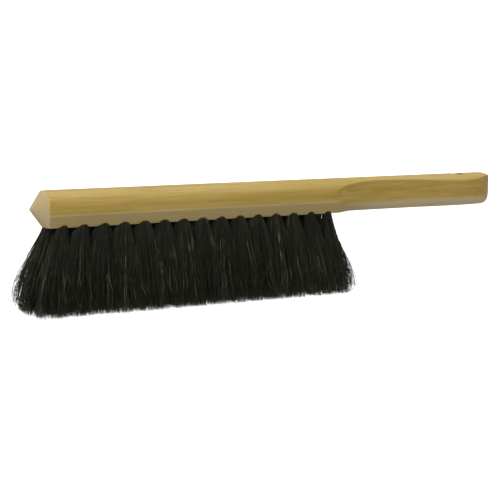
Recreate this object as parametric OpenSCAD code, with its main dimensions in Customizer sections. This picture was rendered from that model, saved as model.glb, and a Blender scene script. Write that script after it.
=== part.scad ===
// Bee brush: a one-piece hardwood block and handle, three staggered rows of
// hair tufts, and the flat wire staple that anchors each tuft in its hole.
//
// Millimetres. +X runs from the pointed toe to the end of the handle, +Z is up,
// and Z = 0 is the plane of the hair tips that the brush stands on. The origin
// is the middle of the brush's footprint on that plane. Inside the modules a
// station is a distance along the wood behind the toe's point.

/* [Block] */
// Length of the wood, from the toe's point to the end of the handle
overall_l = 342; // [320:1:370]
// Width of the block
block_w = 25.4; // [24:0.2:30]
// Thickness of the wood, the same in the block and the handle
block_h = 23; // [20:0.5:26]
// Height of the rounded crown along the top of the wood
crown_h = 10; // [6:0.5:11]
// Width of the chamfer along each side of the tuft face
chamfer_w = 3.5; // [2:0.25:4.5]
// Height of the chamfer along each side of the tuft face
chamfer_h = 8; // [6:0.25:9]
// Half angle of the cone that the toe is turned to
toe_angle = 54; // [48:1:65]

/* [Handle] */
// Station of the shoulder, where the block ends and the handle starts
shoulder_x = 209; // [206:1:215]
// Station of the waist, the slimmest place on the handle
waist_x = 247; // [235:1:260]
// Width of the handle at its waist
waist_w = 15; // [13:0.5:20]
// Station where the handle is widest, before its end rounds off
palm_x = 314; // [300:1:316]
// Width of the handle at its widest
palm_w = 21.2; // [20:0.2:24]
// Length over which the top and bottom edges of the handle's end round off
nose_l = 8; // [4:0.5:12]
// Height of the handle's end as a share of its thickness
nose_share = 0.6; // [0.5:0.05:0.9]
// Diameter of the hole that the brush hangs by
hang_d = 8; // [6:0.5:10]
// Distance from the hang hole to the end of the handle
hang_inset = 26.5; // [18:1:30]

/* [Bristles] */
// Tufts in each row
row_count = 15; // [13:1:15]
// Distance between tufts along a row; the middle row stands half of it nearer the toe
pitch = 13.2; // [13:0.1:13.5]
// Station of the first tuft in an outer row
first_x = 19.5; // [18:0.5:22]
// Distance from the middle row to each outer row at the tuft face
row_gap = 6.8; // [6.6:0.1:7.2]
// Outward tilt of the outer rows
splay = 12; // [8:1:14]
// Diameter of a tuft hole
hole_d = 6.5; // [5.5:0.25:6.75]
// Depth of a tuft hole
hole_depth = 12; // [10:0.5:13]
// Free length of the hair below the block
trim = 53.5; // [45:0.5:70]
// Half width of the hair at its tips
tip_half_w = 24; // [20:0.5:28]
// How far the last tufts lean outward at the toe
toe_fan = 14; // [6:1:18]
// How far the last tufts lean outward at the handle
heel_fan = 9; // [6:1:14]

/* [Staples] */
// Width of a staple over its legs
staple_w = 5; // [4:0.25:5.25]
// Height of a staple, from its crown to the ends of its legs
staple_h = 7; // [6:0.5:8]
// Width of the flat wire
wire_w = 1.6; // [1:0.1:2]
// Thickness of the flat wire
wire_t = 0.5; // [0.4:0.05:0.7]
// Depth of a staple's legs in the wood past the bottom of the hole
leg_bite = 4; // [3:0.25:5]

/* [Hidden] */
$fn = 48;
// Running clearance between hair, wire and wood
clear = 0.05;
// Gap between neighbouring tufts at their tips
tip_gap = 0.4;
// Points on each side of the wood's section: along the chamfer, over the crown
side_steps = 6;
crown_steps = 10;
// Roundness of the handle's end in plan: 2 is an ellipse, more is blunter
nose_power = 2.5;
// Distance behind the shoulder where the lower edges reach their full rounding
ease_in = 15;
// Drop of a tuft below the tuft face before it starts to spread
collar = 1;
// Thickness of the disc that the spreading hair starts from, and its extra width
bloom_h = 0.5;
bloom_w = 0.6;
// Length of the cone that the toe is cut to, past the shoulder
cone_l = shoulder_x + 10;
// Size of a hair cell's corner at the tips
cell_r = 1.5;

half_w = block_w / 2;
axis_z = block_h / 2;
row_mid = first_x + pitch * (row_count - 1) / 2;
row_half = pitch * row_count / 2;
cove_drop = (block_w - waist_w) / 2;
cove_r = (pow(waist_x - shoulder_x, 2) + pow(cove_drop, 2)) / (2 * cove_drop);

// Station at the tips of a place along the rows: the ends of the rows fan out
function tip_station(s) =
    let (u = (s - row_mid) / row_half)
    s + (u < 0 ? -toe_fan : heel_fan) * pow(abs(u), 4);

// The footprint's middle is the origin
mid_x = (tip_station(row_mid - row_half - pitch / 2) + overall_l) / 2;

function number(i) = str(i < 9 ? "0" : "", i + 1);
function tuft_names(row, count) = [for (i = [0 : count - 1]) str("tuft_", row, "_", number(i))];

// ---- The wood's outline -------------------------------------------------

// Half width of the wood in plan: block, cove down to the waist, palm, end
function plan_half(s) =
    s <= shoulder_x ? half_w :
    s <= waist_x ? waist_w / 2 + cove_r - sqrt(pow(cove_r, 2) - pow(waist_x - s, 2)) :
    s <= palm_x ? waist_w / 2
        + (palm_w - waist_w) / 4 * (1 - cos(180 * (s - waist_x) / (palm_x - waist_x))) :
    palm_w / 2 * sqrt(1 - pow((s - palm_x) / (overall_l - palm_x), nose_power));

// Half width of the block at a height on its chamfer
function chamfer_half(z) = half_w - chamfer_w * (1 - z / chamfer_h);

// Height of the crown at a distance from the middle
function crown_z(y) = block_h - crown_h * (1 - sqrt(max(0, 1 - pow(y / half_w, 2))));

// What the rounding of the handle's lower edges takes off its half width
function edge_ease(s, z) =
    let (grown = min(1, max(0, (s - shoulder_x) / ease_in)), rise = 1 - z / chamfer_h)
    min(chamfer_h, 0.9 * plan_half(s)) * grown * (1 - sqrt(1 - pow(rise, 2)));

// Height of the wood as a share of its full thickness, less only at the nose
function height_share(s) =
    let (u = max(0, (s - (overall_l - nose_l)) / nose_l))
    nose_share + (1 - nose_share) * sqrt(max(0, 1 - pow(u, 2)));

// One side of the section at a station: down the crown, then the chamfer
function half_section(s) =
    let (h = plan_half(s))
    concat(
        [for (k = [1 : crown_steps])
            let (y = h * sin(90 * k / crown_steps))
            [y, crown_z(y)]],
        [for (j = [side_steps : -1 : 0])
            let (z = chamfer_h * j / side_steps)
            [min(h - edge_ease(s, z), chamfer_half(z)), z]]);

// The whole section, from the top of the crown round to the top again
function section(s) =
    let (side = half_section(s), n = len(side), share = height_share(s))
    [for (p = concat([[0, block_h]], side, [for (i = [n - 1 : -1 : 0]) [-side[i][0], side[i][1]]]))
        [s, p[0], axis_z + (p[1] - axis_z) * share]];

handle_stations = concat(
    [for (i = [0 : 14]) shoulder_x + (waist_x - shoulder_x) * i / 15],
    [for (i = [0 : 9]) waist_x + (palm_x - waist_x) * i / 10],
    [for (i = [0 : 14]) palm_x + (overall_l - palm_x) * sin(80 * i / 14)]);

// Skin over rings that all have the same number of points, closed by a fan of
// triangles round a point at each end
module skin(rings, first_point, last_point) {
    n = len(rings[0]);
    count = n * len(rings);
    polyhedron(
        points = concat([for (ring = rings) each ring], [first_point, last_point]),
        faces = [
            for (i = [0 : n - 1])
                let (j = (i + 1) % n)
                each concat(
                    [[j, i, count]],
                    [for (a = [0 : n : count - 2 * n], upper = [false, true])
                        upper ? [a + i, a + n + j, a + n + i] : [a + i, a + j, a + n + j]],
                    [[count - n + i, count - n + j, count + 1]])]);
}

// ---- Tufts and their holes ----------------------------------------------

// Place children at a tuft's mouth on the tuft face, Z pointing into the wood
module at_mouth(s, y) {
    translate([s - mid_x, y, trim]) rotate([-splay * y / row_gap, 0, 0]) children();
}

function outer_station(i) = first_x + pitch * i;
function middle_station(i) = first_x + pitch * (i - 0.5);

module every_mouth() {
    for (i = [0 : row_count - 1]) {
        for (side = [-1, 1]) at_mouth(outer_station(i), side * row_gap) children();
        at_mouth(middle_station(i), 0) children();
    }
}

// Blind hole for a tuft, with a slot for each leg of its staple
module tuft_hole() {
    translate([0, 0, -2 * hole_d]) cylinder(d = hole_d, h = hole_depth + 2 * hole_d);
    for (side = [-1, 1])
        translate([side * (staple_w - wire_t) / 2, 0, hole_depth + leg_bite / 2])
            cube([wire_t + 2 * clear, wire_w + 2 * clear, leg_bite + 2 * clear], center = true);
}

// Anchor staple, its crown across the fold of the hair
module staple() {
    color("silver") translate([0, 0, hole_depth + leg_bite - staple_h]) {
        translate([-staple_w / 2, -wire_w / 2, 0]) cube([staple_w, wire_w, wire_t]);
        for (x = [-staple_w / 2, staple_w / 2 - wire_t])
            translate([x, -wire_w / 2, 0]) cube([wire_t, wire_w, staple_h]);
    }
}

// One tuft: the folded root that fills the hole, and the free hair that
// spreads to its own cell of the tips, from y_in to y_out beside the middle
module tuft(s, y, y_in, y_out) {
    x_from = tip_station(s - pitch / 2) - mid_x + tip_gap / 2;
    x_to = tip_station(s + pitch / 2) - mid_x - tip_gap / 2;
    root_h = hole_depth - clear;
    slot_h = staple_h - leg_bite + clear;
    color([0.12, 0.12, 0.1]) {
        difference() {
            at_mouth(s, y) translate([0, 0, -collar - bloom_h / 2])
                cylinder(d = hole_d - 2 * clear, h = root_h + collar + bloom_h / 2);
            at_mouth(s, y) translate([-hole_d / 2, -wire_w / 2 - clear, hole_depth - slot_h])
                cube([hole_d, wire_w + 2 * clear, hole_depth]);
        }
        hull() {
            at_mouth(s, y) translate([0, 0, -collar - bloom_h])
                cylinder(d = hole_d + bloom_w, h = bloom_h, $fn = 32);
            for (x = [x_from + cell_r, x_to - cell_r], v = [y_in + cell_r, y_out - cell_r])
                translate([x, v, 0]) cylinder(r = cell_r, h = 1, $fn = 32);
        }
    }
}

inner = tip_half_w / 3;

// ---- Sub-parts ------------------------------------------------------------

// Hardwood block and handle, shaped and bored in one piece
module block_handle() {
    color("burlywood") difference() {
        union() {
            intersection() {
                translate([-mid_x - block_h, 0, trim]) rotate([90, 0, 90])
                    linear_extrude(shoulder_x + block_h) polygon([for (p = section(0)) [p[1], p[2]]]);
                translate([-mid_x, 0, trim + axis_z]) rotate([0, 90, 0])
                    cylinder(h = cone_l, r1 = 0, r2 = cone_l * tan(toe_angle), $fn = 96);
            }
            translate([-mid_x, 0, trim])
                skin([for (s = handle_stations) section(s)], [shoulder_x, 0, axis_z], [overall_l, 0, axis_z]);
        }
        every_mouth() tuft_hole();
        translate([overall_l - hang_inset - mid_x, 0, trim - 1]) cylinder(d = hang_d, h = block_h + 2);
    }
}

module tuft_near(i) {
    tuft(outer_station(i), -row_gap, -tip_half_w, -inner - tip_gap / 2);
}

module tuft_middle(i) {
    tuft(middle_station(i), 0, -inner + tip_gap / 2, inner - tip_gap / 2);
}

module tuft_far(i) {
    tuft(outer_station(i), row_gap, inner + tip_gap / 2, tip_half_w);
}

module staples_near() {
    for (i = [0 : row_count - 1]) at_mouth(outer_station(i), -row_gap) staple();
}

module staples_middle() {
    for (i = [0 : row_count - 1]) at_mouth(middle_station(i), 0) staple();
}

module staples_far() {
    for (i = [0 : row_count - 1]) at_mouth(outer_station(i), row_gap) staple();
}

block_handle();
for (i = [0 : row_count - 1]) {
    tuft_near(i);
    tuft_middle(i);
    tuft_far(i);
}
staples_near();
staples_middle();
staples_far();
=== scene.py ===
import math

import bmesh
import bpy
import numpy as np
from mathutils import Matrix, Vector


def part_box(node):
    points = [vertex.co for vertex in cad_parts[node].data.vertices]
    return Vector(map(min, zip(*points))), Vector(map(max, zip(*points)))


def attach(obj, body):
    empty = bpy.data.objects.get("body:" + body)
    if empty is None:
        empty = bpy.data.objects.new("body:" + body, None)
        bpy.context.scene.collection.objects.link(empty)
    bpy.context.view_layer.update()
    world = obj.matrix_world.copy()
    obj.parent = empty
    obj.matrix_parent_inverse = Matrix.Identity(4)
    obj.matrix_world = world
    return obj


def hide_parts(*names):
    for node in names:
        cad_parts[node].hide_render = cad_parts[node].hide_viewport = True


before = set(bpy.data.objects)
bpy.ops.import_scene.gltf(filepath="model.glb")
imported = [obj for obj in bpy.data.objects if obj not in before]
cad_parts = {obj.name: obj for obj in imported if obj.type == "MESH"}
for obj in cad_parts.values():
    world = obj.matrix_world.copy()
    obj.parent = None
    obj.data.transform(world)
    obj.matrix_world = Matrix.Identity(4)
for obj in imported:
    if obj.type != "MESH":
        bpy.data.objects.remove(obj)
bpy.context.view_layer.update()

# ---- Camera ------------------------------------------------------------------
# A long lens a little above the brush, looking down along it from the toe, with
# the toe nearest and the handle running away to the right.
MM = 0.001
wood_lo, wood_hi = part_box("block_handle")
camera_before_toe, camera_aside, camera_above = 199.7 * MM, 732.6 * MM, 71.3 * MM
camera_turn, camera_dip = math.radians(25.53), math.radians(8.21)

camera = bpy.data.objects.new("camera", bpy.data.cameras.new("camera"))
camera.data.sensor_width = 36
camera.data.lens = 88.33
camera.data.clip_start = 0.05
camera.data.clip_end = 50
camera.location = (wood_lo.x - camera_before_toe, -camera_aside, wood_hi.z + camera_above)
look = Vector((
    math.sin(camera_turn) * math.cos(camera_dip),
    math.cos(camera_turn) * math.cos(camera_dip),
    -math.sin(camera_dip)))
camera.rotation_euler = look.to_track_quat("-Z", "Y").to_euler()
bpy.context.collection.objects.link(camera)
bpy.context.scene.camera = camera

# ---- Block and handle ----------------------------------------------------------
# One piece of pale hardwood. The bar is moulded to a rounded crown with chamfered
# lower edges, its toe is turned to a point, a cutter waists the handle, the holes
# are drilled from below and every edge is broken with sandpaper.
wood_l = wood_hi.x - wood_lo.x
wood_h = wood_hi.z - wood_lo.z
half_w = (wood_hi.y - wood_lo.y) / 2
axis_z = wood_h / 2
crown_h = 10 * MM
chamfer_w, chamfer_h = 3.5 * MM, 8 * MM
toe_slope = math.tan(math.radians(54))
shoulder, waist, palm = 209 * MM, 247 * MM, 314 * MM
waist_half, palm_half = 7.5 * MM, 10.6 * MM
nose_l, nose_share, nose_power = 8 * MM, 0.6, 2.5
ease_in = 15 * MM
edge_softness = 0.3 * MM
point_blunt, rim_soft = 0.2 * MM, 0.55 * MM
cove_drop = half_w - waist_half
cove_r = ((waist - shoulder) ** 2 + cove_drop ** 2) / (2 * cove_drop)


def plan_half(s):
    """Half width of the wood in plan, at a distance s behind the toe's point."""
    if s <= shoulder:
        return half_w
    if s <= waist:
        return waist_half + cove_r - math.sqrt(cove_r ** 2 - (waist - s) ** 2)
    if s <= palm:
        swell = (1 - math.cos(math.pi * (s - waist) / (palm - waist))) / 2
        return waist_half + (palm_half - waist_half) * swell
    return palm_half * math.sqrt(max(0, 1 - ((s - palm) / (wood_l - palm)) ** nose_power))


def crown_z(y):
    return wood_h - crown_h * (1 - np.sqrt(np.maximum(0, 1 - (y / half_w) ** 2)))


def half_outline(s):
    """Fine outline of one side of the section: crown with side, lower edge, underside."""
    h = plan_half(s)
    y = h * np.sin(np.linspace(0, math.pi / 2, 60))
    crown = np.stack([y, crown_z(y)], 1)
    z = np.linspace(chamfer_h, 0, 40)
    chamfered = half_w - chamfer_w * (1 - z / chamfer_h)
    # Past the shoulder the chamfer gives way to a full rounding
    grown = min(1, max(0, (s - shoulder) / ease_in))
    rounding = min(chamfer_h, 0.9 * h) * grown
    rounded = h - rounding * (1 - np.sqrt(1 - (1 - z / chamfer_h) ** 2))
    lower = np.stack([np.minimum(rounded, chamfered), z], 1)
    return crown, lower, np.array([[0, 0]])


def sanded(line):
    """The outline with its corners worn round, and the distance along it."""
    run = np.concatenate([[0], np.cumsum(np.linalg.norm(np.diff(line, axis=0), axis=1))])
    step = 0.06 * MM
    even = np.arange(0, run[-1] + step, step)
    fine = np.stack([np.interp(even, run, line[:, k]) for k in (0, 1)], 1)
    reach = int(4 * edge_softness / step)
    weights = np.exp(-0.5 * (np.arange(-reach, reach + 1) * step / edge_softness) ** 2)
    weights /= weights.sum()
    head = fine[1:reach + 1][::-1] * [-1, 1]
    tail = fine[-reach - 1:-1][::-1] * [-1, 1]
    padded = np.concatenate([head, fine, tail])
    smooth = np.stack([np.convolve(padded[:, k], weights, "valid") for k in (0, 1)], 1)
    return run, even, smooth


def marks_between(a, b, count):
    """Distances from a to b, closer together toward the corner at each end."""
    near = np.array([0.25, 0.6, 1.1]) * MM
    if b - a > 4 * near[-1]:
        middle = np.linspace(a + near[-1], b - near[-1], count)
        return np.concatenate([a + near[:-1], middle, b - near[:-1][::-1], [b]])
    shares = np.interp(np.linspace(0, 1, count + 4), np.linspace(0, 1, 5), (0.12, 0.3, 0.5, 0.7, 0.88))
    return np.append(a + (b - a) * shares, b)


def half_section(s):
    """One side of the section as a fixed number of points, drawn in at the nose."""
    crown, lower, foot = half_outline(s)
    run, even, smooth = sanded(np.concatenate([crown, lower, foot]))
    corners = [0, run[len(crown) - 1], run[len(crown)], run[-2], run[-1]]
    marks = np.concatenate([[0]] + [
        marks_between(a, b, count) for a, b, count in zip(corners, corners[1:], (15, 2, 6, 3))])
    points = np.stack([np.interp(marks, even, smooth[:, k]) for k in (0, 1)], 1)
    points[0, 0] = points[-1, 0] = 0
    into_nose = max(0, s - (wood_l - nose_l)) / nose_l
    share = nose_share + (1 - nose_share) * math.sqrt(max(0, 1 - into_nose ** 2))
    points[:, 1] = axis_z + (points[:, 1] - axis_z) * share
    return points


def whole_section(s):
    side = half_section(s)
    return np.concatenate([side, side[-2:0:-1] * [-1, 1]])


def wood_rings():
    """Rings of points from the toe's point to the handle's nose."""
    section = whole_section(0)
    y, z = section[:, 0], section[:, 1]
    edge_s = np.hypot(y, z - axis_z) / toe_slope
    rings = []
    # The turned cone, from its blunted point to just short of its rim
    for t in (0.03, 0.08, 0.16, 0.28, 0.42, 0.56, 0.7, 0.82, 0.9, 0.94):
        s = np.sqrt((t * edge_s) ** 2 + point_blunt ** 2)
        rings.append(np.stack([s, t * y, axis_z + t * (z - axis_z)], 1))
    # Its rim, where the cone cuts the moulded faces, rubbed round
    along = np.stack([edge_s, y, z - axis_z], 1)
    along /= np.linalg.norm(along, axis=1)[:, None]
    corner = np.stack([edge_s, y, z], 1)
    for t in (0.0, 0.2, 0.4, 0.6, 0.8, 1.0):
        start, stop = corner - rim_soft * along, corner + [rim_soft, 0, 0]
        rings.append((1 - t) ** 2 * start + 2 * t * (1 - t) * corner + t * t * stop)
    # The moulded bar, evening out from the rim to square stations
    straight = 14 * MM
    for t in (0.2, 0.5, 0.8, 1.0):
        s = (edge_s + rim_soft) * (1 - t) + straight * t
        rings.append(np.stack([s, y, z], 1))
    stations = np.concatenate([
        np.linspace(straight, shoulder - 1 * MM, 14)[1:],
        shoulder + np.array([-0.3, 0, 0.5, 1.2]) * MM,
        np.linspace(shoulder + 2.5 * MM, waist, 18),
        np.linspace(waist, palm, 18)[1:-1],
        palm + (wood_l - palm) * np.sin(np.linspace(0, math.radians(86), 22))])
    for s in stations:
        ring = whole_section(s)
        rings.append(np.column_stack([np.full(len(ring), s), ring]))
    return rings


def skinned(name, rings, first, last):
    """A closed mesh over the rings, with a point at each end."""
    n = len(rings[0])
    count = n * len(rings)
    faces = []
    for i in range(n):
        j = (i + 1) % n
        faces.append((i, j, count))
        faces.append((count - n + j, count - n + i, count + 1))
        for a in range(0, count - n, n):
            faces.append((a + j, a + i, a + n + i, a + n + j))
    mesh = bpy.data.meshes.new(name)
    mesh.from_pydata(np.concatenate(rings + [[first], [last]]).tolist(), [], faces)
    return mesh


def made_object(name, mesh):
    piece = bpy.data.objects.new(name, mesh)
    bpy.context.collection.objects.link(piece)
    return piece


def drill(mesh, mouth, axis, profile, sides=40):
    """Adds a closed turned solid to a bmesh: (distance past the mouth, radius) pairs."""
    up = Vector(axis).normalized()
    across = up.orthogonal().normalized()
    beside = up.cross(across)
    rims = []
    for d, radius in profile:
        rims.append([mesh.verts.new(
            mouth + up * d + (across * math.cos(2 * math.pi * k / sides)
                              + beside * math.sin(2 * math.pi * k / sides)) * radius)
            for k in range(sides)])
    mesh.faces.new(list(reversed(rims[0])))
    mesh.faces.new(rims[-1])
    for low, high in zip(rims, rims[1:]):
        for k in range(sides):
            m = (k + 1) % sides
            mesh.faces.new((low[k], low[m], high[m], high[k]))


# Where the tufts stand along the wood, how their rows lie, and the hanging hole
row_count = 15
pitch, first_tuft = 13.2 * MM, 19.5 * MM
row_gap, splay = 6.8 * MM, math.radians(12)
hole_r, hole_depth = 3.25 * MM, 12 * MM
hang_r, hang_inset, hang_flare = 4 * MM, 26.5 * MM, 1 * MM

tufts = []
for row, side in (("near", -1), ("middle", 0), ("far", 1)):
    for i in range(row_count):
        station = first_tuft + pitch * (i - (0.5 if side == 0 else 0))
        mouth = Vector((wood_lo.x + station, side * row_gap, wood_lo.z))
        into = Vector((0, -side * math.sin(splay), math.cos(splay) if side else 1))
        tufts.append((row, side, i, mouth, into))

rings = [ring + [wood_lo.x, 0, wood_lo.z] for ring in wood_rings()]
wood_mid_z = wood_lo.z + axis_z
toe_point = (wood_lo.x + 0.95 * point_blunt, 0, wood_mid_z)
nose_point = (wood_hi.x, 0, wood_mid_z)
wood = made_object("wood_block_handle", skinned("wood_block_handle", rings, toe_point, nose_point))

cutters = bmesh.new()
for row, side, i, mouth, into in tufts:
    drill(cutters, mouth, into, ((-2 * hole_r, hole_r), (hole_depth, hole_r)))
hang_mouth = Vector((wood_hi.x - hang_inset, 0, wood_lo.z))
flare_z, above = wood_h - hang_flare, 4 * MM
drill(cutters, hang_mouth, (0, 0, 1), (
    (-wood_h / 2, hang_r), (flare_z, hang_r), (flare_z + above, hang_r + above)), sides=64)
bmesh.ops.recalc_face_normals(cutters, faces=cutters.faces)
drill_mesh = bpy.data.meshes.new("drills")
cutters.to_mesh(drill_mesh)
cutters.free()
drills = made_object("drills", drill_mesh)

bored = wood.modifiers.new("bored", "BOOLEAN")
bored.operation = "DIFFERENCE"
bored.solver = "MANIFOLD"
bored.object = drills


def baked(piece):
    """Replaces the piece's mesh with its modifiers' result."""
    bpy.context.view_layer.update()
    graph = bpy.context.evaluated_depsgraph_get()
    mesh = bpy.data.meshes.new_from_object(piece.evaluated_get(graph))
    piece.modifiers.clear()
    piece.data = mesh


baked(wood)
bpy.data.objects.remove(drills)


def shade_smooth_but(mesh, angle):
    """Smooth shading, with edges sharper than the angle kept crisp."""
    work = bmesh.new()
    work.from_mesh(mesh)
    for face in work.faces:
        face.smooth = True
    for edge in work.edges:
        edge.smooth = len(edge.link_faces) == 2 and edge.calc_face_angle() < angle
    work.to_mesh(mesh)
    work.free()


shade_smooth_but(wood.data, math.radians(28))


class NodeMaker:
    """A node tree under construction: adds nodes and links them to their inputs."""

    def __init__(self, tree):
        self.tree = tree

    def add(self, kind, inputs=None, **settings):
        node = self.tree.nodes.new(kind)
        for key, value in settings.items():
            setattr(node, key, value)
        for key, value in (inputs or {}).items():
            if isinstance(value, bpy.types.NodeSocket):
                self.tree.links.new(value, node.inputs[key])
            else:
                node.inputs[key].default_value = value
        return node

    def math(self, operation, *values):
        node = self.add("ShaderNodeMath", dict(enumerate(values)), operation=operation)
        return node.outputs[0]

    def hypotenuse(self, a, b):
        squares = self.math("ADD", self.math("MULTIPLY", a, a), self.math("MULTIPLY", b, b))
        return self.math("POWER", squares, 0.5)

    def vector(self, operation, *values):
        node = self.add("ShaderNodeVectorMath", dict(enumerate(values)), operation=operation)
        return node.outputs[0]

    def mix(self, factor, a, b):
        node = self.add("ShaderNodeMix", data_type="RGBA")
        for index, value in ((0, factor), (6, a), (7, b)):
            if isinstance(value, bpy.types.NodeSocket):
                self.tree.links.new(value, node.inputs[index])
            else:
                node.inputs[index].default_value = value
        return node.outputs[2]

    def ramp(self, factor, low, high, start=0.0, stop=1.0):
        """The factor remapped from low..high to start..stop, clamped and eased."""
        node = self.add("ShaderNodeMapRange", {0: factor, 1: low, 2: high, 3: start, 4: stop},
                        interpolation_type="SMOOTHSTEP")
        return node.outputs[0]

    def noise(self, place, scale, detail=2.0, roughness=0.5):
        return self.add("ShaderNodeTexNoise", {
            "Vector": place, "Scale": scale, "Detail": detail, "Roughness": roughness}).outputs["Fac"]


def new_material(name):
    material = bpy.data.materials.new(name)
    material.use_nodes = True
    material.node_tree.nodes.clear()
    shader = NodeMaker(material.node_tree)
    output = shader.add("ShaderNodeOutputMaterial")
    surface = shader.add("ShaderNodeBsdfPrincipled")
    shader.tree.links.new(surface.outputs[0], output.inputs["Surface"])
    return material, shader, surface


def hardwood():
    """Bare sanded hardwood with its grain along X."""
    pale, honey, brown = (0.51, 0.355, 0.09, 1), (0.41, 0.265, 0.035, 1), (0.27, 0.16, 0.02, 1)
    pore_tone, cloud_tone = (0.20, 0.115, 0.03, 1), (0.50, 0.36, 0.10, 1)
    dark_fleck, light_fleck = (0.30, 0.19, 0.03, 1), (0.58, 0.43, 0.17, 1)
    end_grain, rim_highlight_tone = (0.49, 0.36, 0.175, 1), (0.62, 0.50, 0.32, 1)
    block_bounce_tone, handle_bounce_tone = (0.43, 0.35, 0.17, 1), (0.64, 0.54, 0.35, 1)
    hole_wall_tone = (0.13, 0.08, 0.025, 1)

    material, sh, surface = new_material("hardwood")
    place = sh.add("ShaderNodeTexCoord").outputs["Object"]
    mm = sh.vector("MULTIPLY", place, (1000, 1000, 1000))
    x, y, z = sh.add("ShaderNodeSeparateXYZ", {0: mm}).outputs
    from_toe = sh.math("SUBTRACT", x, wood_lo.x / MM)
    from_mid = sh.math("SUBTRACT", z, wood_mid_z / MM)

    # Growth rings round a heart that lies below and beside the bar
    drift = sh.noise(sh.vector("MULTIPLY", mm, (0.012, 0.06, 0.06)), 1.0, 2.0)
    from_heart = sh.hypotenuse(sh.math("ADD", y, 38), sh.math("SUBTRACT", z, 14))
    ring = sh.math("ADD", sh.math("MULTIPLY", from_heart, 0.42), sh.math("MULTIPLY", drift, 7.0))
    tooth = sh.math("FRACT", ring)
    late, early = sh.ramp(tooth, 0.55, 0.98), sh.ramp(tooth, 0.0, 0.12, 1.0, 0.0)
    ring_lines = sh.math("MULTIPLY", sh.math("MAXIMUM", late, early), 0.14)

    # Fibres, broad streaks, short dark pores and flecks, all drawn out along the grain
    fibre = sh.noise(sh.vector("MULTIPLY", mm, (0.05, 2.2, 2.2)), 1.0, 3.0, 0.6)
    streak = sh.noise(sh.vector("MULTIPLY", mm, (0.018, 0.34, 0.34)), 1.0, 2.0)
    pores = sh.ramp(sh.noise(sh.vector("MULTIPLY", mm, (0.35, 3.4, 3.4)), 1.0, 1.0), 0.64, 0.74)
    cloud = sh.noise(mm, 0.03, 2.0)
    fleck = sh.noise(sh.vector("MULTIPLY", mm, (0.3, 0.95, 0.95)), 1.0, 2.0, 0.6)
    base = sh.mix(sh.ramp(streak, 0.3, 0.72), pale, honey)
    base = sh.mix(ring_lines, base, brown)
    base = sh.mix(sh.ramp(fibre, 0.4, 0.75, 0.0, 0.25), base, brown)
    base = sh.mix(sh.math("MULTIPLY", pores, 0.35), base, pore_tone)
    base = sh.mix(sh.ramp(cloud, 0.4, 0.7, 0.0, 0.25), base, cloud_tone)
    base = sh.mix(sh.ramp(fleck, 0.38, 0.62, 0.0, 0.22), base, dark_fleck)
    base = sh.mix(sh.ramp(fleck, 0.5, 0.7, 0.0, 0.25), base, light_fleck)

    # Cut across the grain, the wood is paler and duller
    facing = sh.add("ShaderNodeSeparateXYZ", {0: sh.add("ShaderNodeNewGeometry").outputs["Normal"]})
    end_cut = sh.ramp(sh.math("ABSOLUTE", facing.outputs[0]), 0.3, 0.62)
    base = sh.mix(sh.math("MULTIPLY", end_cut, 0.7), base, end_grain)

    # Faces that look down are painted greyer, and paler still on the handle: painted light and reflection
    # from the white floor below
    under = sh.ramp(sh.math("MULTIPLY", facing.outputs[2], -1.0), 0.02, 0.42)
    on_handle = sh.ramp(from_toe, shoulder / MM, waist / MM)
    bounce_tone = sh.mix(on_handle, block_bounce_tone, handle_bounce_tone)
    base = sh.mix(sh.math("MULTIPLY", under, 0.6), base, bounce_tone)

    # Painted highlights along the chamfer's upper edge and the rim of the toe, broken up by the fibres
    off_edge = sh.math("ABSOLUTE", sh.math("SUBTRACT", z, (wood_lo.z + chamfer_h) / MM))
    on_block = sh.ramp(from_toe, shoulder / MM, shoulder / MM + 6, 1.0, 0.0)
    low_line = sh.math("MULTIPLY", sh.ramp(off_edge, 0.2, 0.9, 1.0, 0.0), on_block)
    rim_at = sh.math("DIVIDE", sh.hypotenuse(y, from_mid), toe_slope)
    off_rim = sh.math("ABSOLUTE", sh.math("SUBTRACT", from_toe, rim_at))
    edges = sh.math("MAXIMUM", low_line, sh.ramp(off_rim, 0.3, 1.0, 1.0, 0.0))
    painted_rim_highlight = sh.math("MULTIPLY", edges, sh.ramp(fibre, 0.3, 0.6, 0.4, 1.0))
    base = sh.mix(sh.math("MULTIPLY", painted_rim_highlight, 0.45), base, rim_highlight_tone)

    # The wall and rim of the hanging hole are painted darker
    from_hook = sh.hypotenuse(sh.math("SUBTRACT", x, (wood_hi.x - hang_inset) / MM), y)
    hole_darkening = sh.ramp(from_hook, hang_r / MM + 0.3, hang_r / MM + 1.0, 0.8, 0.0)
    base = sh.mix(hole_darkening, base, hole_wall_tone)
    sh.tree.links.new(base, surface.inputs["Base Color"])

    rough = sh.math("ADD", sh.math("MULTIPLY", fibre, 0.16), 0.42)
    rough = sh.math("ADD", rough, sh.math("MULTIPLY", end_cut, 0.18))
    sh.tree.links.new(rough, surface.inputs["Roughness"])
    height = sh.math("SUBTRACT", sh.math("MULTIPLY", fibre, 0.6), sh.math("MULTIPLY", pores, 0.5))
    bump = sh.add("ShaderNodeBump", {"Height": height, "Strength": 0.35, "Distance": 0.00025})
    sh.tree.links.new(bump.outputs[0], surface.inputs["Normal"])
    surface.inputs["Specular IOR Level"].default_value = 0.4
    return material


wood.data.materials.clear()
wood.data.materials.append(hardwood())
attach(wood, "root")
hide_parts("block_handle")

# ---- Anchor staples ---------------------------------------------------------------
# Flat drawn wire bent into a U, one driven over the fold of each tuft and into the
# wood at the bottom of its hole. They keep the shape that the frame gives them.


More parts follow.
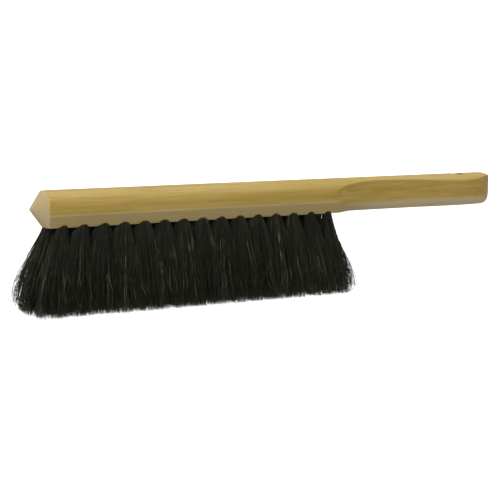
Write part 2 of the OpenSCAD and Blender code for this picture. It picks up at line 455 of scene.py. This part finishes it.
def drawn_wire():
    """Bright steel with the fine lengthwise lines of the drawing die."""
    material, sh, surface = new_material("drawn_wire")
    place = sh.add("ShaderNodeTexCoord").outputs["Object"]
    bright, dull = (0.55, 0.55, 0.53, 1), (0.40, 0.39, 0.37, 1)
    lines = sh.noise(sh.vector("MULTIPLY", place, (900, 9000, 900)), 1.0, 2.0)
    sh.tree.links.new(sh.mix(sh.noise(place, 700, 2.0), bright, dull), surface.inputs["Base Color"])
    sh.tree.links.new(sh.ramp(lines, 0.2, 0.8, 0.25, 0.45), surface.inputs["Roughness"])
    surface.inputs["Metallic"].default_value = 1.0
    return material


wire = drawn_wire()
for row in ("near", "middle", "far"):
    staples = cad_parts["staples_" + row]
    staples.data.materials.clear()
    staples.data.materials.append(wire)

# ---- Hair tufts --------------------------------------------------------------------
# Black horsehair, a bundle folded in two over its staple and pulled into its hole.
# Each hair leaves the hole along the tuft, spreads, droops outward and is trimmed.
tip_half_w = 24 * MM
toe_fan, heel_fan = 14 * MM, 9 * MM
row_mid = first_tuft + pitch * (row_count - 1) / 2
row_half = pitch * row_count / 2
overlap = 4 * MM
middle_reach, outer_reach = 2 * MM, 3 * MM
fuller_x, fuller_y = 1.06, 1.07
opening, toe_opening, heel_opening = 0.7, 0.5, 1.3


def tip_station(s):
    """Where a place along the rows ends up at the tips: the ends fan out."""
    u = (s - row_mid) / row_half
    return s + (-toe_fan * abs(u) ** 2.2 if u < 0 else heel_fan * u ** 4)


def horsehair():
    """Black hair whose shade changes from hair to hair, greyer toward its tip."""
    black, brown = (0.0072, 0.0080, 0.0052, 1), (0.036, 0.037, 0.022, 1)
    grey, root_shade_tone = (0.24, 0.22, 0.12, 1), (0.004, 0.0045, 0.004, 1)
    material, sh, surface = new_material("horsehair")
    shade = sh.add("ShaderNodeAttribute", attribute_name="shade").outputs["Fac"]
    along = sh.add("ShaderNodeAttribute", attribute_name="along").outputs["Fac"]
    place = sh.add("ShaderNodeTexCoord").outputs["Object"]
    glint = sh.ramp(sh.noise(place, 110, 1.0), 0.45, 0.62)
    base = sh.mix(sh.ramp(shade, 0.35, 0.95), black, brown)
    base = sh.mix(sh.math("MULTIPLY", sh.ramp(shade, 0.91, 0.97), glint), base, grey)
    base = sh.mix(sh.math("MULTIPLY", sh.ramp(along, 0.85, 1.0), 0.10), base, grey)
    # Hairs painted darker toward the root: painted shade under the wood block
    base = sh.mix(sh.ramp(along, 0.05, 0.4, 0.5, 0.0), base, root_shade_tone)
    sh.tree.links.new(base, surface.inputs["Base Color"])
    sh.tree.links.new(sh.ramp(shade, 0.0, 1.0, 0.34, 0.5), surface.inputs["Roughness"])
    surface.inputs["Specular IOR Level"].default_value = 0.45
    surface.inputs["Specular Tint"].default_value = (0.85, 0.9, 0.70, 1)
    return material


def tuft_tree(material):
    """Geometry Nodes that grow one tuft: hairs copied from one line, each bent along
    its own path from the hole to the tips, then given their thickness."""
    tree = bpy.data.node_groups.new("tuft_of_hair", "GeometryNodeTree")
    for name, kind in (
            ("Hairs", "Int"), ("Points", "Int"), ("Seed", "Int"), ("Place", "Vector"),
            ("Lean", "Vector"), ("Spread", "Vector"), ("Inside", "Float"), ("Drop", "Float"),
            ("Floor", "Float"), ("Root Radius", "Float"), ("Opening", "Float"), ("Locks", "Float"),
            ("Lock Pull", "Float"), ("Mess", "Float"), ("Round From", "Float"), ("Round Over", "Float"),
            ("Round Up", "Float"), ("Wavy Cut", "Float"), ("Uneven Cut", "Float"), ("Hair Radius", "Float")):
        tree.interface.new_socket(name, in_out="INPUT", socket_type="NodeSocket" + kind)
    tree.interface.new_socket("Tuft", in_out="OUTPUT", socket_type="NodeSocketGeometry")
    sh = NodeMaker(tree)
    given = sh.add("NodeGroupInput").outputs

    line = sh.add("GeometryNodeCurvePrimitiveLine")
    line = sh.add("GeometryNodeResampleCurve", {"Curve": line.outputs[0], "Count": given["Points"]})
    copies = sh.add("GeometryNodeDuplicateElements",
                    {"Geometry": line.outputs[0], "Amount": given["Hairs"]}, domain="SPLINE")
    numbered = sh.add("GeometryNodeStoreNamedAttribute",
                      {"Geometry": copies.outputs[0], "Name": "hair", "Value": copies.outputs[1]},
                      data_type="INT", domain="CURVE")
    hair = sh.add("GeometryNodeInputNamedAttribute", {"Name": "hair"}, data_type="INT").outputs[0]
    t = sh.add("GeometryNodeSplineParameter").outputs["Factor"]

    def chance(draw, low=0.0, high=1.0):
        """A random number for each hair; each draw is independent of the others."""
        node = sh.add("FunctionNodeRandomValue", data_type="FLOAT")
        node.inputs[2].default_value, node.inputs[3].default_value = low, high
        tree.links.new(hair, node.inputs["ID"])
        tree.links.new(sh.math("ADD", given["Seed"], draw), node.inputs["Seed"])
        return node.outputs[1]

    # Place in the bundle: round in the hole, squarer toward the tips
    turn = chance(2, 0.0, 2 * math.pi)
    cosine, sine = sh.math("COSINE", turn), sh.math("SINE", turn)
    longest = sh.math("MAXIMUM", sh.math("ABSOLUTE", cosine), sh.math("ABSOLUTE", sine))
    square = sh.math("MULTIPLY", sh.math("SUBTRACT", sh.math("DIVIDE", 1.0, longest), 1.0), t)
    from_core = sh.math("MULTIPLY", sh.math("POWER", chance(1), 0.5), sh.math("ADD", 1.0, square))
    a, b = sh.math("MULTIPLY", from_core, cosine), sh.math("MULTIPLY", from_core, sine)

    # Neighbours draw together into locks toward the tips
    where = sh.add("ShaderNodeCombineXYZ", {0: a, 1: b, 2: sh.math("MULTIPLY", given["Seed"], 0.37)})
    lock = sh.add("ShaderNodeTexVoronoi", {"Vector": where.outputs[0], "Scale": given["Locks"]})
    lock_a, lock_b, _ = sh.add("ShaderNodeSeparateXYZ", {0: lock.outputs["Position"]}).outputs
    pull = sh.math("MULTIPLY", sh.math("MULTIPLY", sh.math("POWER", t, 1.5), chance(3)), given["Lock Pull"])
    a = sh.math("ADD", a, sh.math("MULTIPLY", pull, sh.math("SUBTRACT", lock_a, a)))
    b = sh.math("ADD", b, sh.math("MULTIPLY", pull, sh.math("SUBTRACT", lock_b, b)))

    # How far along each hair the bundle has opened, and the tuft has leaned
    opened = sh.math("SINE", sh.math("MULTIPLY", sh.math("POWER", t, given["Opening"]), math.pi / 2))
    lean = sh.add("ShaderNodeSeparateXYZ", {0: given["Lean"]}).outputs
    spread = sh.add("ShaderNodeSeparateXYZ", {0: given["Spread"]}).outputs
    place = sh.add("ShaderNodeSeparateXYZ", {0: given["Place"]}).outputs

    def offset(share, size):
        grown = sh.math("MULTIPLY", sh.math("SUBTRACT", size, given["Root Radius"]), opened)
        return sh.math("MULTIPLY", share, sh.math("ADD", given["Root Radius"], grown))

    # Waves shared by a lock, and each hair's own stray, wildest in the palest hairs
    shade = chance(8)
    wild = sh.math("ADD", 1.0, sh.math("MULTIPLY", sh.ramp(shade, 0.86, 1.0), 1.9))
    wave_at = sh.add("ShaderNodeCombineXYZ", {
        0: sh.math("ADD", sh.math("MULTIPLY", a, 1.3), sh.math("MULTIPLY", given["Seed"], 3.1)),
        1: sh.math("MULTIPLY", b, 1.3), 2: sh.math("MULTIPLY", t, 1.6)})
    wave = sh.add("ShaderNodeTexNoise", {"Vector": wave_at.outputs[0], "Scale": 1.0, "Detail": 2.0})
    own_at = sh.add("ShaderNodeCombineXYZ", {
        0: sh.math("MULTIPLY", hair, 7.31), 1: sh.math("MULTIPLY", t, 2.4), 2: given["Seed"]})
    own = sh.add("ShaderNodeTexNoise", {"Vector": own_at.outputs[0], "Scale": 1.0, "Detail": 1.0})
    waves = sh.add("ShaderNodeSeparateXYZ", {0: wave.outputs["Color"]}).outputs
    owns = sh.add("ShaderNodeSeparateXYZ", {0: own.outputs["Color"]}).outputs

    def stray(axis, draw):
        shared = sh.math("MULTIPLY", sh.math("SUBTRACT", waves[axis], 0.5), 4.0)
        single = sh.math("MULTIPLY", sh.math("SUBTRACT", owns[axis], 0.5), sh.math("MULTIPLY", wild, 4.5))
        tip = sh.math("MULTIPLY", chance(draw, -1.0, 1.0), sh.math("MULTIPLY", wild, t))
        total = sh.math("ADD", sh.math("ADD", shared, single), tip)
        return sh.math("MULTIPLY", sh.math("MULTIPLY", total, t), given["Mess"])

    x = sh.math("ADD", sh.math("MULTIPLY", lean[0], opened), offset(a, spread[0]))
    x = sh.math("ADD", sh.math("ADD", place[0], x), stray(0, 5))
    y = sh.math("ADD", sh.math("MULTIPLY", lean[1], t), offset(b, spread[1]))
    y = sh.math("ADD", sh.math("ADD", place[1], y), stray(1, 6))

    # The trimmed face turns up at the ends of the brush; locks and hairs differ a little
    tip_x = sh.math("ADD", sh.math("ADD", place[0], lean[0]), sh.math("MULTIPLY", a, spread[0]))
    past = sh.math("DIVIDE", sh.math("SUBTRACT", tip_x, given["Round From"]), given["Round Over"])
    raised = sh.math("MULTIPLY", sh.math("POWER", sh.math("MAXIMUM", past, 0.0), 2.2), given["Round Up"])
    cut_at = sh.add("ShaderNodeCombineXYZ", {0: tip_x})
    cut = sh.add("ShaderNodeTexNoise", {"Vector": cut_at.outputs[0], "Scale": 90.0}).outputs["Fac"]
    wavy_cut = sh.math("MULTIPLY", sh.ramp(cut, 0.45, 0.7), given["Wavy Cut"])
    own_cut = sh.math("MULTIPLY", sh.math("POWER", chance(7), 5.0), given["Uneven Cut"])
    missing = sh.math("ADD", raised, sh.math("ADD", wavy_cut, own_cut))
    length = sh.math("SUBTRACT", given["Drop"], missing)
    fall = sh.math("MULTIPLY", sh.math("ADD", length, given["Inside"]), t)
    z = sh.math("SUBTRACT", sh.math("ADD", place[2], given["Inside"]), fall)
    z = sh.math("MAXIMUM", z, given["Floor"])
    path = sh.add("ShaderNodeCombineXYZ", {0: x, 1: y, 2: z})
    bent = sh.add("GeometryNodeSetPosition", {"Geometry": numbered.outputs[0], "Position": path.outputs[0]})

    # Colour and thickness go with each hair
    shaded = sh.add("GeometryNodeStoreNamedAttribute",
                    {"Geometry": bent.outputs[0], "Name": "shade", "Value": shade},
                    data_type="FLOAT", domain="CURVE")
    marked = sh.add("GeometryNodeStoreNamedAttribute",
                    {"Geometry": shaded.outputs[0], "Name": "along", "Value": t},
                    data_type="FLOAT", domain="POINT")
    taper = sh.math("MULTIPLY", given["Hair Radius"], sh.ramp(t, 0.7, 1.0, 1.0, 0.6))
    taper = sh.math("MULTIPLY", taper, chance(9, 0.75, 1.2))
    ring = sh.add("GeometryNodeCurvePrimitiveCircle", {"Resolution": 3, "Radius": 1.0}, mode="RADIUS")
    solid = sh.add("GeometryNodeCurveToMesh", {
        "Curve": marked.outputs[0], "Profile Curve": ring.outputs[0], "Scale": taper, "Fill Caps": True})
    real = sh.add("GeometryNodeRealizeInstances", {0: solid.outputs[0]})
    painted = sh.add("GeometryNodeSetMaterial", {"Geometry": real.outputs[0], "Material": material})
    result = sh.add("NodeGroupOutput")
    tree.links.new(painted.outputs[0], result.inputs[0])
    return tree


grow = tuft_tree(horsehair())
identifier = {item.name: item.identifier for item in grow.interface.items_tree if item.in_out == "INPUT"}
every_tuft = {
    "Hairs": 740, "Points": 9, "Inside": 3 * MM, "Drop": wood_lo.z - 0.3 * MM, "Floor": 0.3 * MM,
    "Root Radius": hole_r * 0.95, "Locks": 2.6, "Lock Pull": 0.3, "Mess": 1.3 * MM,
    "Wavy Cut": 0.7 * MM, "Uneven Cut": 1.6 * MM, "Hair Radius": 0.11 * MM}
toe_trim = {"Round From": wood_lo.x - 2 * MM, "Round Over": -10 * MM, "Round Up": 15 * MM}
heel_trim = {"Round From": wood_lo.x + 213 * MM, "Round Over": 9 * MM, "Round Up": 8 * MM}

# The middle row's tips fill the inner third of the width, and the outer rows the rest
inner = tip_half_w / 3
for number, (row, side, i, mouth, _) in enumerate(tufts):
    station = mouth.x - wood_lo.x
    row_start = first_tuft - (pitch / 2 if side else pitch)
    x_from = tip_station(max(station - pitch / 2 - overlap, row_start))
    x_to = tip_station(min(station + pitch / 2 + overlap, row_start + pitch * row_count))
    y_from, y_to = -inner - middle_reach, inner + middle_reach
    if side:
        y_from, y_to = sorted((side * (inner - outer_reach), side * tip_half_w))
    at_toe = station < row_mid
    along_rows = (station - row_mid) / row_half
    name = f"hair_{row}_{i + 1:02d}"
    tuft = made_object(name, bpy.data.meshes.new(name))
    growth = tuft.modifiers.new("growth", "NODES")
    growth.node_group = grow
    this_tuft = {
        "Seed": 11 + number, "Place": mouth,
        "Lean": (wood_lo.x + (x_from + x_to) / 2 - mouth.x, (y_from + y_to) / 2 - mouth.y, 0),
        "Spread": ((x_to - x_from) / 2 * fuller_x, (y_to - y_from) / 2 * fuller_y, 0),
        "Opening": opening + (toe_opening if at_toe else heel_opening) * along_rows ** 4}
    for key, value in (every_tuft | this_tuft | (toe_trim if at_toe else heel_trim)).items():
        growth[identifier[key]] = value
    baked(tuft)
    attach(tuft, "root")
    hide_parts(f"tuft_{row}_{i + 1:02d}")

# ---- Floor and light ------------------------------------------------------------------
# A plain pale floor under a big key softbox on the toe's side and another overhead,
# in a studio whose walls brighten upward. The floor looks white to the camera only.
ground = bmesh.new()
bmesh.ops.create_circle(ground, cap_ends=True, segments=96, radius=6.0)
floor_mesh = bpy.data.meshes.new("floor")
ground.to_mesh(floor_mesh)
ground.free()
floor = made_object("floor", floor_mesh)
floor_paint, sh, surface = new_material("floor_paint")
mottle = sh.noise(sh.add("ShaderNodeTexCoord").outputs["Object"], 3.0, 2.0)
paint = sh.mix(mottle, (0.46, 0.46, 0.46, 1), (0.50, 0.50, 0.50, 1))
sh.tree.links.new(paint, surface.inputs["Base Color"])
surface.inputs["Roughness"].default_value = 0.9
surface.inputs["Emission Color"].default_value = (1, 1, 1, 1)
seen = sh.add("ShaderNodeLightPath").outputs["Is Camera Ray"]
sh.tree.links.new(seen, surface.inputs["Emission Strength"])
floor.data.materials.append(floor_paint)

sky = bpy.data.worlds.new("studio")
bpy.context.scene.world = sky
sky.use_nodes = True
sky.node_tree.nodes.clear()
sh = NodeMaker(sky.node_tree)
up = sh.add("ShaderNodeSeparateXYZ", {0: sh.add("ShaderNodeTexCoord").outputs["Generated"]}).outputs[2]
dome = sh.ramp(up, 0.1, 0.75, 0.18, 0.8)
seen = sh.add("ShaderNodeLightPath").outputs["Is Camera Ray"]
unseen = sh.math("SUBTRACT", 1.0, seen)
strength = sh.math("ADD", sh.math("MULTIPLY", seen, 1.2), sh.math("MULTIPLY", unseen, dome))
glow = sh.add("ShaderNodeBackground", {"Color": (1, 1, 1, 1), "Strength": strength})
world_out = sh.add("ShaderNodeOutputWorld")
sky.node_tree.links.new(glow.outputs[0], world_out.inputs[0])


def softbox(name, place, target, size, power):
    light = bpy.data.objects.new(name, bpy.data.lights.new(name, "AREA"))
    light.data.shape = "SQUARE"
    light.data.size = size
    light.data.energy = power
    light.location = place
    light.rotation_euler = (Vector(target) - Vector(place)).to_track_quat("-Z", "Y").to_euler()
    bpy.context.collection.objects.link(light)


softbox("key", (-1.3, -1.1, 1.1), (0, 0, 0.05), 1.0, 14)
softbox("top", (0.1, 0.2, 1.7), (0, 0, 0.05), 1.4, 11.5)

bpy.context.scene.view_settings.view_transform = "Standard"
